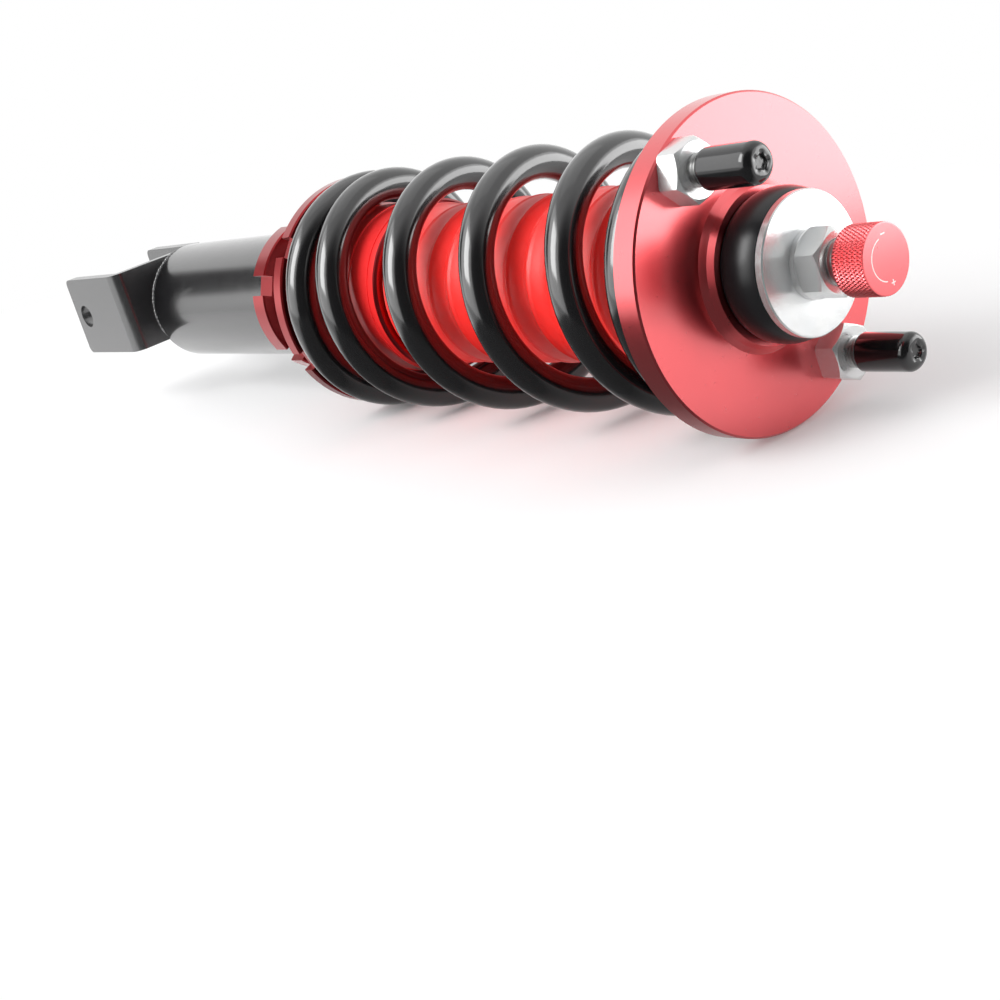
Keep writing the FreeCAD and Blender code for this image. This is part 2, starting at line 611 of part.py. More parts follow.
# Damping adjuster
keep("knob", knob())
keep("knob_screw", knob_screw())
blade = drive_blade(NEEDLE_TOP - BLADE_LENGTH, NEEDLE_TOP + 1.0, BLADE_WIDTH)
shaft = cylinder(SHAFT_R, NEEDLE_TOP + 0.3, KNOB_BACK + KNOB_LENGTH - 3.2)
keep("adjuster_shaft", shaft.fuse(blade).removeSplitter())
needle = turned([(NEEDLE_TIP, 0), (NEEDLE_TIP + 8.0, 2.4), (NEEDLE_TIP + 9.0, SHAFT_R),
                 (NEEDLE_TOP, SHAFT_R), (NEEDLE_TOP, 0)])
slot = drive_blade(NEEDLE_TOP - BLADE_LENGTH - 0.6, NEEDLE_TOP + 1.0, BLADE_WIDTH + 0.2, 3.0)
keep("metering_needle", needle.cut(slot))

os.makedirs("parts", exist_ok=True)
for name, shape in parts.items():
    for solid in shape.Solids:
        if not solid.isValid() or solid.Volume <= 0:
            print("check", name, solid.isValid(), solid.Volume)
    shape.exportStep(f"parts/{name}.step")
print("pieces", len(parts))
print("least gap between spring turns", round(spring_gap(), 2))
wire_length = sum((spring_point(i / 200) - spring_point((i + 1) / 200)).Length
                  for i in range(int(COIL_TURNS * 200)))
print("spring volume over section times length",
      round(spring.Volume / (math.pi * WIRE_R ** 2 * wire_length), 4))
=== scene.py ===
import json
import math
import bmesh
import bpy
from mathutils import Matrix, Vector


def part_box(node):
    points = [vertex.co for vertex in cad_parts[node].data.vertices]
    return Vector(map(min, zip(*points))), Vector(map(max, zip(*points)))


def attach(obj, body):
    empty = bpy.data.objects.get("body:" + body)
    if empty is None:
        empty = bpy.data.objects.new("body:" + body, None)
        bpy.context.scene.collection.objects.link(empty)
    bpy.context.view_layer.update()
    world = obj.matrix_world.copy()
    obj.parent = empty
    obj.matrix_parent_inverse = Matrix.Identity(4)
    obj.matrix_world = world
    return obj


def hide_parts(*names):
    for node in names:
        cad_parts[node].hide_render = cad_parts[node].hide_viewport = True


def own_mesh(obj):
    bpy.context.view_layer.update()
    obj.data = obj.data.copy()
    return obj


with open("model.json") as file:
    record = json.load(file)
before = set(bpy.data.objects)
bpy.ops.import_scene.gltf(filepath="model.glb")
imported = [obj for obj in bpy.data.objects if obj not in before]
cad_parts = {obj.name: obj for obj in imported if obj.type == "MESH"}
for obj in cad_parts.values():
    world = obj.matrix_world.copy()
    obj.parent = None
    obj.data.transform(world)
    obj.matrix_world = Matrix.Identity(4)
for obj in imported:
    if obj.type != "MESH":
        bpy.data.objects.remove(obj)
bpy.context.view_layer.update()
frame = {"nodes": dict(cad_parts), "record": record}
nodes = frame["nodes"]

MM = 0.001


def middle(name):
    low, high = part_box(name)
    return [(a + b) / 2 for a, b in zip(low, high)]


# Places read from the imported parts, in metres
AXIS_Y, AXIS_Z = middle("damper_tube")[1:]
TUBE_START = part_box("damper_tube")[0][0]
TUBE_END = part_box("damper_tube")[1][0]
TUBE_R = (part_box("damper_tube")[1][1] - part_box("damper_tube")[0][1]) / 2
PLATE_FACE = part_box("stud_nuts")[0][0]
PERCH_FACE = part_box("coil_spring")[0][0]
SPRING_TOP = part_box("coil_spring")[1][0]


# Mesh helpers

def new_object(name, bm, smooth=True, sharp=35):
    """Turns a bmesh into a linked object with smooth shading up to an angle."""
    bmesh.ops.recalc_face_normals(bm, faces=bm.faces)
    mesh = bpy.data.meshes.new(name)
    bm.to_mesh(mesh)
    bm.free()
    for face in mesh.polygons:
        face.use_smooth = smooth
    if smooth:
        mesh.set_sharp_from_angle(angle=math.radians(sharp))
    obj = bpy.data.objects.new(name, mesh)
    bpy.context.scene.collection.objects.link(obj)
    return obj


def on_axis(x, r, angle, y=AXIS_Y, z=AXIS_Z):
    return Vector((x, y + r * math.cos(angle), z + r * math.sin(angle)))


def revolve(name, outline, segments=160, closed=True, y=AXIS_Y, z=AXIS_Z, sharp=35):
    """Spins (x, radius) points about a line along X. Points on the line become one vertex."""
    bm = bmesh.new()
    rings = []
    for x, r in outline:
        if r < 1e-6:
            rings.append([bm.verts.new(on_axis(x, 0, 0, y, z))])
        else:
            rings.append([bm.verts.new(on_axis(x, r, math.tau * i / segments, y, z))
                          for i in range(segments)])
    pairs = list(zip(rings, rings[1:]))
    if closed:
        pairs.append((rings[-1], rings[0]))
    for a, b in pairs:
        if len(a) == 1 and len(b) == 1:
            continue
        for i in range(segments):
            j = (i + 1) % segments
            corners = [a[i % len(a)], a[j % len(a)], b[j % len(b)], b[i % len(b)]]
            unique = [v for k, v in enumerate(corners) if v not in corners[:k]]
            bm.faces.new(unique)
    return new_object(name, bm, sharp=sharp)


def rounded(points, radius, steps=4):
    """Rounds the corners of a closed outline of (x, radius) points."""
    result = []
    count = len(points)
    for i in range(count):
        p = Vector(points[i])
        before = Vector(points[i - 1]) - p
        after = Vector(points[(i + 1) % count]) - p
        if p.y < 1e-6 or before.length < 1e-9 or after.length < 1e-9:
            result.append(tuple(p))
            continue
        reach = min(radius, before.length * 0.45, after.length * 0.45)
        a = p + before.normalized() * reach
        b = p + after.normalized() * reach
        for k in range(steps + 1):
            t = k / steps
            q = a * (1 - t) ** 2 + p * 2 * t * (1 - t) + b * t ** 2
            result.append((q.x, q.y))
    return result


def helix_thread(name, start, end, r_out, depth, pitch, bore, segments, y=AXIS_Y, z=AXIS_Z):
    """A screw thread of four rows per turn that fades out at both ends, with a plain bore."""
    bm = bmesh.new()
    turns = math.ceil((end - start) / pitch) + 1
    row_r = (r_out - depth, r_out - depth, r_out, r_out)
    row_x = (0.0, 0.22, 0.5, 0.72)
    rows = []
    for k in range(4 * turns):
        row = []
        for i in range(segments):
            x = start - pitch + pitch * (k // 4 + row_x[k % 4] + i / segments)
            x_in = min(max(x, start), end)
            fade = min(1.0, (x_in - start) / pitch, (end - x_in) / pitch)
            r = r_out - depth + (row_r[k % 4] - r_out + depth) * max(0.0, fade)
            row.append(bm.verts.new(on_axis(x_in, r, math.tau * i / segments, y, z)))
        rows.append(row)
    for k in range(4 * turns - 1):
        for i in range(segments):
            j = (i + 1) % segments
            shift = 4 if j == 0 else 0
            if k + 1 + shift >= len(rows):
                continue
            bm.faces.new([rows[k][i], rows[k + shift][j], rows[k + 1 + shift][j], rows[k + 1][i]])
    merge = pitch * 0.01
    bmesh.ops.remove_doubles(bm, verts=bm.verts, dist=merge)
    bmesh.ops.dissolve_degenerate(bm, edges=bm.edges, dist=merge)
    thread = new_object(name, bm, sharp=50)
    core = revolve(name + "_core", [(start, bore), (start, r_out - depth), (end, r_out - depth),
                                    (end, bore)], segments, y=y, z=z)
    return join(thread, core)


def join(*objects):
    """Joins objects into the first one."""
    first = objects[0]
    with bpy.context.temp_override(active_object=first, selected_editable_objects=list(objects)):
        bpy.ops.object.join()
    return first


def place(obj, body, slot, *replaced):
    """Attaches a piece to the body it rides on, gives it its slot's material and hides the parts it
    stands for.
    """
    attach(obj, body)
    if replaced:
        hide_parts(*replaced)
    obj.data.materials.clear()
    obj.data.materials.append(materials[slot])


# Materials

materials = {}


class Shader:
    """A thin helper round one material's node tree."""

    def __init__(self, name):
        self.material = bpy.data.materials.new(name)
        self.material.use_nodes = True
        self.tree = self.material.node_tree
        self.bsdf = self.tree.nodes["Principled BSDF"]

    def node(self, kind, **values):
        made = self.tree.nodes.new(kind)
        for key, value in values.items():
            if key in made.inputs:
                made.inputs[key].default_value = value
            else:
                setattr(made, key, value)
        return made

    def link(self, output, target):
        self.tree.links.new(output, target)

    def set(self, **values):
        for key, value in values.items():
            self.bsdf.inputs[key.replace("_", " ")].default_value = value

    def coords(self):
        """Places in the part's own frame, in metres."""
        return self.node("ShaderNodeTexCoord").outputs["Object"]

    def noise(self, scale, detail, roughness=0.5):
        made = self.node("ShaderNodeTexNoise", Scale=scale, Detail=detail, Roughness=roughness)
        self.link(self.coords(), made.inputs["Vector"])
        return made.outputs["Fac"]

    def ramp(self, value, low, high, from_low=0.3, from_high=0.7):
        """Carries a value from one range to another. Noise runs from about 0.3 to 0.7."""
        made = self.node("ShaderNodeMapRange")
        made.inputs["From Min"].default_value = from_low
        made.inputs["From Max"].default_value = from_high
        made.inputs["To Min"].default_value = low
        made.inputs["To Max"].default_value = high
        self.link(value, made.inputs["Value"])
        return made.outputs["Result"]

    def mix(self, factor, a, b):
        made = self.node("ShaderNodeMix", data_type="RGBA")
        self.link(factor, made.inputs["Factor"])
        for value, socket in ((a, made.inputs[6]), (b, made.inputs[7])):
            if isinstance(value, tuple):
                socket.default_value = (*value, 1)
            else:
                self.link(value, socket)
        return made.outputs[2]

    def product(self, a, b):
        made = self.node("ShaderNodeMath", operation="MULTIPLY")
        self.link(a, made.inputs[0])
        self.link(b, made.inputs[1])
        return made.outputs["Value"]

    def larger(self, a, b):
        made = self.node("ShaderNodeMath", operation="MAXIMUM")
        self.link(a, made.inputs[0])
        self.link(b, made.inputs[1])
        return made.outputs["Value"]

    def seen(self):
        """One for a ray from the camera, a mirror or glass, else nought."""
        path = self.node("ShaderNodeLightPath").outputs
        return self.larger(self.larger(path["Is Camera Ray"], path["Is Glossy Ray"]),
                           path["Is Transmission Ray"])

    def blend(self, factor, a, b):
        """Mixes two shaders."""
        made = self.node("ShaderNodeMixShader")
        self.link(factor, made.inputs["Fac"])
        self.link(a, made.inputs[1])
        self.link(b, made.inputs[2])
        return made.outputs["Shader"]

    def bump(self, height, strength, distance):
        made = self.node("ShaderNodeBump", Strength=strength, Distance=distance)
        self.link(height, made.inputs["Height"])
        if self.bsdf.inputs["Normal"].links:
            self.link(self.bsdf.inputs["Normal"].links[0].from_socket, made.inputs["Normal"])
        self.link(made.outputs["Normal"], self.bsdf.inputs["Normal"])

    def distance(self, centre, scale):
        """Distance from a point, in metres, with each axis scaled."""
        shifted = self.node("ShaderNodeVectorMath", operation="SUBTRACT")
        self.link(self.coords(), shifted.inputs[0])
        shifted.inputs[1].default_value = centre
        scaled = self.node("ShaderNodeVectorMath", operation="MULTIPLY")
        self.link(shifted.outputs["Vector"], scaled.inputs[0])
        scaled.inputs[1].default_value = scale
        length = self.node("ShaderNodeVectorMath", operation="LENGTH")
        self.link(scaled.outputs["Vector"], length.inputs[0])
        return length.outputs["Value"]

    def radius(self):
        """Distance from the damper axis, in metres."""
        return self.distance((0, AXIS_Y, AXIS_Z), (0, 1, 1))

    def axes(self):
        """The X, Y and Z of each place, in metres."""
        split = self.node("ShaderNodeSeparateXYZ")
        self.link(self.coords(), split.inputs[0])
        return split.outputs

    def near(self, value, centre, reach):
        """One where a value lies within reach of the centre."""
        made = self.node("ShaderNodeMath", operation="COMPARE")
        self.link(value, made.inputs[0])
        made.inputs[1].default_value = centre
        made.inputs[2].default_value = reach
        return made.outputs["Value"]

    def dial_marks(self):
        """One on the marks printed on the knob's face: an arc between a minus and a plus."""
        arc_r, arc_half, signs_r = 6.3 * MM, math.radians(78), 7.2 * MM
        thick, long = 0.2 * MM, 0.9 * MM
        minus, plus = math.radians(85), math.radians(278)
        place_of = self.axes()
        across = self.node("ShaderNodeMath", operation="ARCTAN2")
        for socket, axis, centre in ((0, "Z", AXIS_Z), (1, "Y", AXIS_Y)):
            flipped = self.node("ShaderNodeMath", operation="SUBTRACT")
            flipped.inputs[0].default_value = centre
            self.link(place_of[axis], flipped.inputs[1])
            self.link(flipped.outputs["Value"], across.inputs[socket])
        total = self.product(self.near(self.radius(), arc_r, 0.17 * MM),
                             self.near(across.outputs["Value"], 0.0, arc_half))
        for angle, wide, high in ((minus, long, thick), (plus, long, thick), (plus, thick, long)):
            y = AXIS_Y + signs_r * math.cos(angle)
            z = AXIS_Z + signs_r * math.sin(angle)
            bar = self.product(self.near(place_of["Y"], y, wide), self.near(place_of["Z"], z, high))
            total = self.larger(total, bar)
        return self.product(total, self.near(place_of["X"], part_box("knob")[1][0], 0.3 * MM))

    def turning_marks(self, pitch, strength, distance):
        """Fine rings about the damper axis, as a lathe leaves on a face."""
        scaled = self.node("ShaderNodeMath", operation="MULTIPLY")
        self.link(self.radius(), scaled.inputs[0])
        scaled.inputs[1].default_value = math.tau / pitch
        wave = self.node("ShaderNodeMath", operation="SINE")
        self.link(scaled.outputs["Value"], wave.inputs[0])
        self.bump(wave.outputs["Value"], strength, distance)


def painted(name, colour, roughness, coat, peel, coat_roughness, ior):
    """Enamel or vinyl. Peel is how uneven its skin is."""
    s = Shader(name)
    s.set(Roughness=roughness, Coat_Weight=coat, Coat_Roughness=coat_roughness, IOR=ior)
    tone = s.mix(s.noise(60, 4), colour, tuple(c * 1.5 for c in colour))
    s.link(tone, s.bsdf.inputs["Base Color"])
    s.link(s.ramp(s.noise(140, 3), roughness * 0.9, roughness * 1.12), s.bsdf.inputs["Roughness"])
    s.bump(s.noise(700, 1), peel, 0.00005)
    return s.material


def anodised(name, colour, roughness, coat_ior):
    """Red anodised aluminium, with the perch's brighter hub and the marks on the knob."""
    hub_colour, hub_metallic, hub_reach = (0.92, 0.03, 0.03), 0.15, 21 * MM
    mark_colour = (0.9, 0.72, 0.7)
    s = Shader(name)
    s.set(Coat_Weight=1.0, Coat_Roughness=0.22, Coat_IOR=coat_ior)
    hub_middle = (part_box("spring_perch")[1][0] + PERCH_FACE) / 2
    hub = s.near(s.axes()["X"], hub_middle, hub_reach)
    tone = s.mix(s.noise(45, 3), colour, tuple(min(1, c * 1.12) for c in colour))
    tone = s.mix(hub, tone, hub_colour)
    marks = s.dial_marks()
    s.link(s.mix(marks, tone, mark_colour), s.bsdf.inputs["Base Color"])
    metal = s.product(s.ramp(marks, 1.0, 0.0, 0.0, 1.0), s.ramp(hub, 1.0, hub_metallic, 0.0, 1.0))
    s.link(metal, s.bsdf.inputs["Metallic"])
    s.link(s.ramp(s.noise(500, 4, 0.6), roughness * 0.94, roughness * 1.06),
           s.bsdf.inputs["Roughness"])
    s.turning_marks(0.0004, 0.04, 0.00002)
    s.bump(s.noise(1500, 1), 0.01, 0.00002)
    return s.material


def rubber(name, colour, roughness, grain, glow=0.0):
    """Rubber or foam. Glow is how much light passes a little way through it."""
    s = Shader(name)
    s.set(Roughness=roughness, IOR=1.45, Subsurface_Weight=glow, Subsurface_Scale=0.006,
          Subsurface_Radius=(1.0, 0.15, 0.1))
    darker = tuple(c * 0.9 for c in colour)
    lighter = tuple(min(1, c * 1.08) for c in colour)
    s.link(s.mix(s.noise(70, 4), darker, lighter), s.bsdf.inputs["Base Color"])
    s.link(s.ramp(s.noise(300, 3), roughness * 0.9, roughness * 1.12), s.bsdf.inputs["Roughness"])
    s.bump(s.noise(1800, 3), grain, 0.00005)
    return s.material


def plated(name, light, dark, roughness, brushed=0.15, metallic=1.0):
    """Bare or plated metal in two tones, with the rings that turning leaves."""
    s = Shader(name)
    s.set(Metallic=metallic)
    s.link(s.mix(s.noise(120, 4), light, dark), s.bsdf.inputs["Base Color"])
    s.link(s.ramp(s.noise(260, 2), roughness * 0.85, roughness * 1.2), s.bsdf.inputs["Roughness"])
    s.turning_marks(0.00025, brushed, 0.00002)
    return s.material


PAINTS = {
    "black_satin": dict(colour=(0.008, 0.008, 0.009), roughness=0.24, coat=0.6, peel=0.03,
                        coat_roughness=0.18, ior=2.4),
    "black_gloss": dict(colour=(0.003, 0.003, 0.0035), roughness=0.2, coat=1.0, peel=0.0,
                        coat_roughness=0.1, ior=1.55),
    "black_body": dict(colour=(0.004, 0.004, 0.0045), roughness=0.21, coat=1.0, peel=0.0,
                       coat_roughness=0.11, ior=1.8),
    "black_vinyl": dict(colour=(0.004, 0.004, 0.0045), roughness=0.14, coat=0.5, peel=0.12,
                        coat_roughness=0.1, ior=1.5),
}
ANODISED = {
    "red_anodised": dict(colour=(0.76, 0.02, 0.032), roughness=0.29, coat_ior=2.1),
    "red_rings": dict(colour=(0.34, 0.006, 0.01), roughness=0.3, coat_ior=1.42),
}
RUBBERS = {
    "black_rubber": dict(colour=(0.008, 0.008, 0.009), roughness=0.32, grain=0.12),
    "red_rubber": dict(colour=(0.93, 0.026, 0.022), roughness=0.36, grain=0.05, glow=0.4),
    "foam": dict(colour=(0.5, 0.42, 0.2), roughness=0.85, grain=0.5),
    "band": dict(colour=(0.2, 0.13, 0.07), roughness=0.55, grain=0.25),
}
METALS = {
    "zinc": dict(light=(0.8, 0.8, 0.78), dark=(0.72, 0.74, 0.76), roughness=0.22, metallic=0.8),
    "chrome": dict(light=(0.82, 0.82, 0.83), dark=(0.78, 0.78, 0.8), roughness=0.06, brushed=0.02),
    "thread_steel": dict(light=(0.5, 0.5, 0.49), dark=(0.38, 0.385, 0.39), roughness=0.3,
                         brushed=0.0),
    "steel": dict(light=(0.5, 0.5, 0.5), dark=(0.42, 0.42, 0.43), roughness=0.32),
    "brass": dict(light=(0.75, 0.55, 0.26), dark=(0.68, 0.5, 0.22), roughness=0.25),
    "bronze": dict(light=(0.6, 0.4, 0.22), dark=(0.52, 0.36, 0.2), roughness=0.35),
    "piston_alloy": dict(light=(0.75, 0.75, 0.76), dark=(0.66, 0.66, 0.68), roughness=0.3),
}


def make_materials():
    kinds = ((painted, PAINTS), (anodised, ANODISED), (rubber, RUBBERS), (plated, METALS))
    for make, looks in kinds:
        for name, look in looks.items():
            materials[name] = make(name, **look)


def dress_nodes():
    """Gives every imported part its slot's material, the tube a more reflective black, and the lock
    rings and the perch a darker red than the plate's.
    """
    for part in frame["record"]["subparts"]:
        obj = nodes[part["node"]]
        obj.data.materials.clear()
        obj.data.materials.append(materials[part["material_slot"]])
    nodes["bracket_tube"].data.materials[0] = materials["black_body"]
    for name in ("bracket_lock_ring", "perch_lock_ring", "spring_perch"):
        nodes[name].data.materials[0] = materials["red_rings"]


# Coil spring, in the same sizes as its solid

WIRE_R = 6.0 * MM
COIL_R = 40.0 * MM
COIL_TURNS = 5.6
COIL_START_ANGLE = math.radians(76.3)
END_PITCH = 4.5 * MM
END_TURNS = 0.35
RAMP_TURNS = 0.9


def extra_turns(turn):
    s = min(max((turn - END_TURNS) / RAMP_TURNS, 0.0), 1.0)
    return RAMP_TURNS * (s ** 3 - s ** 4 / 2) + max(0.0, turn - END_TURNS - RAMP_TURNS)


SPRING_START = PERCH_FACE + WIRE_R
SPRING_END = SPRING_TOP - WIRE_R


def spring_height(turn):
    half = COIL_TURNS / 2
    rise = SPRING_END - SPRING_START
    extra_pitch = (rise - END_PITCH * COIL_TURNS) / (2 * extra_turns(half))
    if turn <= half:
        return SPRING_START + END_PITCH * turn + extra_pitch * extra_turns(turn)
    back = COIL_TURNS - turn
    return SPRING_END - END_PITCH * back - extra_pitch * extra_turns(back)


def coil_spring():
    """Swept wire with softly chamfered ends."""
    per_turn = 72
    around = 40
    chamfer = 0.9 * MM
    step = 1e-3                     # part of a turn over which the slope is taken
    bm = bmesh.new()
    count = round(COIL_TURNS * per_turn)
    rings = []
    stations = [(0.0, WIRE_R - chamfer)]
    stations += [(COIL_TURNS * i / count, WIRE_R) for i in range(count + 1)]
    stations.append((COIL_TURNS, WIRE_R - chamfer))
    for index, (turn, r) in enumerate(stations):
        angle = COIL_START_ANGLE + math.tau * turn
        centre = on_axis(spring_height(turn), COIL_R, angle)
        before, after = max(turn - step, 0), min(turn + step, COIL_TURNS)
        slope = (spring_height(after) - spring_height(before)) / (after - before)
        tangent = Vector((slope, -math.tau * COIL_R * math.sin(angle),
                          math.tau * COIL_R * math.cos(angle))).normalized()
        outward = Vector((0, math.cos(angle), math.sin(angle)))
        side = tangent.cross(outward).normalized()
        if index == 1:
            centre = centre + tangent * chamfer
        if index == len(stations) - 2:
            centre = centre - tangent * chamfer
        rings.append([bm.verts.new(centre + outward * r * math.cos(math.tau * k / around)
                                   + side * r * math.sin(math.tau * k / around))
                      for k in range(around)])
    for a, b in zip(rings, rings[1:]):
        for k in range(around):
            j = (k + 1) % around
            bm.faces.new([a[k], a[j], b[j], b[k]])
    bm.faces.new(rings[0])
    bm.faces.new(list(reversed(rings[-1])))
    obj = new_object("spring_wire", bm, sharp=30)
    place(obj, "spring_seat", "black_gloss", "coil_spring")
    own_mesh(obj)


# Dust boot

BOOT_RIDGES = 11
BOOT_RIDGE_PITCH = 10.85 * MM
BOOT_LAST_RIDGE = 357.6 * MM
BOOT_RIDGE_R = 29.2 * MM
BOOT_VALLEY_R = 28.1 * MM
BOOT_RISE = 3.0 * MM
BOOT_LIP = 0.8 * MM
BOOT_WALL = 1.6 * MM


def boot_radius(x):
    """Outside radius: each ridge rises steeply and falls away gently towards the plate."""
    past = (x - BOOT_LAST_RIDGE) % BOOT_RIDGE_PITCH
    fall = BOOT_RIDGE_PITCH - BOOT_RISE
    lip = math.exp(-(min(past, BOOT_RIDGE_PITCH - past) / BOOT_LIP) ** 2)
    if past < fall:
        share = 0.5 + 0.5 * math.cos(math.pi * past / fall)
    else:
        share = 0.5 - 0.5 * math.cos(math.pi * (past - fall) / BOOT_RISE)
    return BOOT_VALLEY_R + (BOOT_RIDGE_R - BOOT_VALLEY_R) * (0.62 * share + 0.38 * lip)


def dust_boot():
    """Bellows whose inner disc sits in the bump stop's groove."""
    low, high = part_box("dust_boot")
    start, end = low[0], high[0]
    lip_r = (high[1] - low[1]) / 2
    disc = 362.0 * MM
    hole_r = 12.0 * MM
    lip = 2.6 * MM
    outer = [(start, lip_r - 0.8 * MM), (start + 0.8 * MM, lip_r), (start + lip, lip_r),
             (start + lip + 1.2 * MM, lip_r - 0.9 * MM)]
    first = BOOT_LAST_RIDGE - (BOOT_RIDGES - 1) * BOOT_RIDGE_PITCH - BOOT_RISE
    samples = 26 * BOOT_RIDGES + 16
    stop = end - 1.6 * MM
    for i in range(samples + 1):
        x = first + (stop - first) * i / samples
        outer.append((x, boot_radius(x)))
    rim_r = outer[-1][1]
    outer += [(end - 0.5 * MM, rim_r - 0.3 * MM), (end, rim_r - 0.9 * MM),
              (end - 0.4 * MM, rim_r - 1.6 * MM)]
    inner_r = BOOT_VALLEY_R - BOOT_WALL
    inner = [(disc + 1.5 * MM, inner_r), (disc, inner_r - 1.5 * MM), (disc, hole_r),
             (disc - BOOT_WALL, hole_r), (disc - BOOT_WALL, inner_r), (start, inner_r)]
    obj = revolve("boot_bellows", outer + inner, 144, sharp=40)
    place(obj, "damper", "red_rubber", "dust_boot")
    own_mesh(obj)


# Threads

def body_thread():
    thread = helix_thread("body_thread", TUBE_START, TUBE_END, TUBE_R, 0.9 * MM, 2.0 * MM,
                          20.0 * MM, segments=112)
    place(thread, "damper", "thread_steel", "damper_tube")


def rod():
    """Chromed rod with its seat for the piston and a fine thread at the top."""
    start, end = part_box("piston_rod")[0][0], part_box("piston_rod")[1][0]
    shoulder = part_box("lower_washer")[0][0]
    seat_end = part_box("piston")[1][0] + 2.0 * MM
    bore = 2.7 * MM
    shaft = revolve("rod_shaft", [(start, bore), (start, 5.0 * MM), (seat_end, 5.0 * MM),
                                  (seat_end, 8.0 * MM), (shoulder - 0.6 * MM, 8.0 * MM),
                                  (shoulder, 7.4 * MM), (shoulder, bore)], 96)
    place(shaft, "rod", "chrome", "piston_rod")
    thread = helix_thread("rod_thread", shoulder, end, 7.0 * MM, 0.75 * MM, 1.5 * MM, bore,
                          segments=72)
    place(thread, "rod", "thread_steel")


def stud_centres():
    """Centres of the two studs, upper one first, from the caps' boxes."""
    return [middle("stud_cap_upper")[1:], middle("stud_cap_lower")[1:]]


def studs():
    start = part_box("studs")[0][0]
    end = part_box("studs")[1][0]
    head_r = 5.6 * MM
    outline = [(start, 0), (start, head_r), (PLATE_FACE, head_r), (PLATE_FACE, 0)]
    for index, (y, z) in enumerate(stud_centres()):
        head = revolve(f"stud_head_{index}", outline, 64, closed=False, y=y, z=z)
        thread = helix_thread(f"stud_thread_{index}", PLATE_FACE, end, 5.0 * MM, 0.65 * MM,
                              1.25 * MM, 0.5 * MM, segments=64, y=y, z=z)
        place(head, "top_mount", "thread_steel", *(["studs"] if index == 0 else []))
        place(thread, "top_mount", "thread_steel")


# Top mount

def upper_bush():
    low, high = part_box("upper_bush")
    seat = low[0]
    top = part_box("upper_washer")[0][0]
    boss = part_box("top_plate")[1][0]
    bulge_r = (high[1] - low[1]) / 2
    base = boss + 0.3 * MM
    neck_r = 15.9 * MM
    bore = 10.0 * MM
    outline = [(top, bore), (seat, bore), (seat, neck_r), (base, neck_r)]
    steps = 20
    for i in range(steps + 1):
        t = i / steps
        x = base + (top - base) * t
        share = math.sin(math.pi * (0.08 + 0.84 * t)) ** 0.55
        outline.append((x, bulge_r - 3.2 * MM + 3.2 * MM * share))
    obj = revolve("upper_bush_rubber", outline, 144, sharp=50)
    place(obj, "rod", "black_rubber", "upper_bush")


def lower_bush():
    low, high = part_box("lower_bush")
    top = high[0]
    plate_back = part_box("top_plate")[0][0]
    r = (high[1] - low[1]) / 2
    points = [(low[0], 10.0 * MM), (low[0], r - 2.2 * MM), (low[0] + 3.5 * MM, r),
              (plate_back - 2.6 * MM, r), (plate_back - 0.4 * MM, r - 1.5 * MM),
              (plate_back - 0.3 * MM, 15.9 * MM), (top, 15.9 * MM), (top, 10.0 * MM)]
    obj = revolve("lower_bush_rubber", rounded(points, 1.2 * MM), 112, sharp=50)
    place(obj, "rod", "black_rubber", "lower_bush")


def bump_stop():
    low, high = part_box("bump_stop")
    start, end = low[0], high[0]
    bore = 8.05 * MM
    groove = 360.0 * MM
    groove_end = groove + 2.3 * MM
    groove_r = 11.6 * MM
    points = [(start, bore), (start, 12.6 * MM), (start + 4 * MM, 16.0 * MM),
              (start + 9 * MM, 16.0 * MM), (start + 13 * MM, 13.4 * MM),
              (start + 17 * MM, 16.6 * MM), (groove, 17.0 * MM), (groove, groove_r),
              (groove_end, groove_r), (groove_end, 17.2 * MM), (end, 17.0 * MM), (end, bore)]
    obj = revolve("bump_stop_foam", rounded(points, 1.5 * MM), 96, sharp=60)
    place(obj, "rod", "foam", "bump_stop")


def spring_pad():
    low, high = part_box("spring_pad")
    outer = (high[1] - low[1]) / 2
    inner = 33.6 * MM
    points = [(low[0], inner), (low[0], outer), (high[0], outer), (high[0], inner)]
    obj = revolve("spring_pad_rubber", rounded(points, 0.4 * MM), 160, sharp=50)
    place(obj, "spring_seat", "black_rubber", "spring_pad")


# Vinyl caps

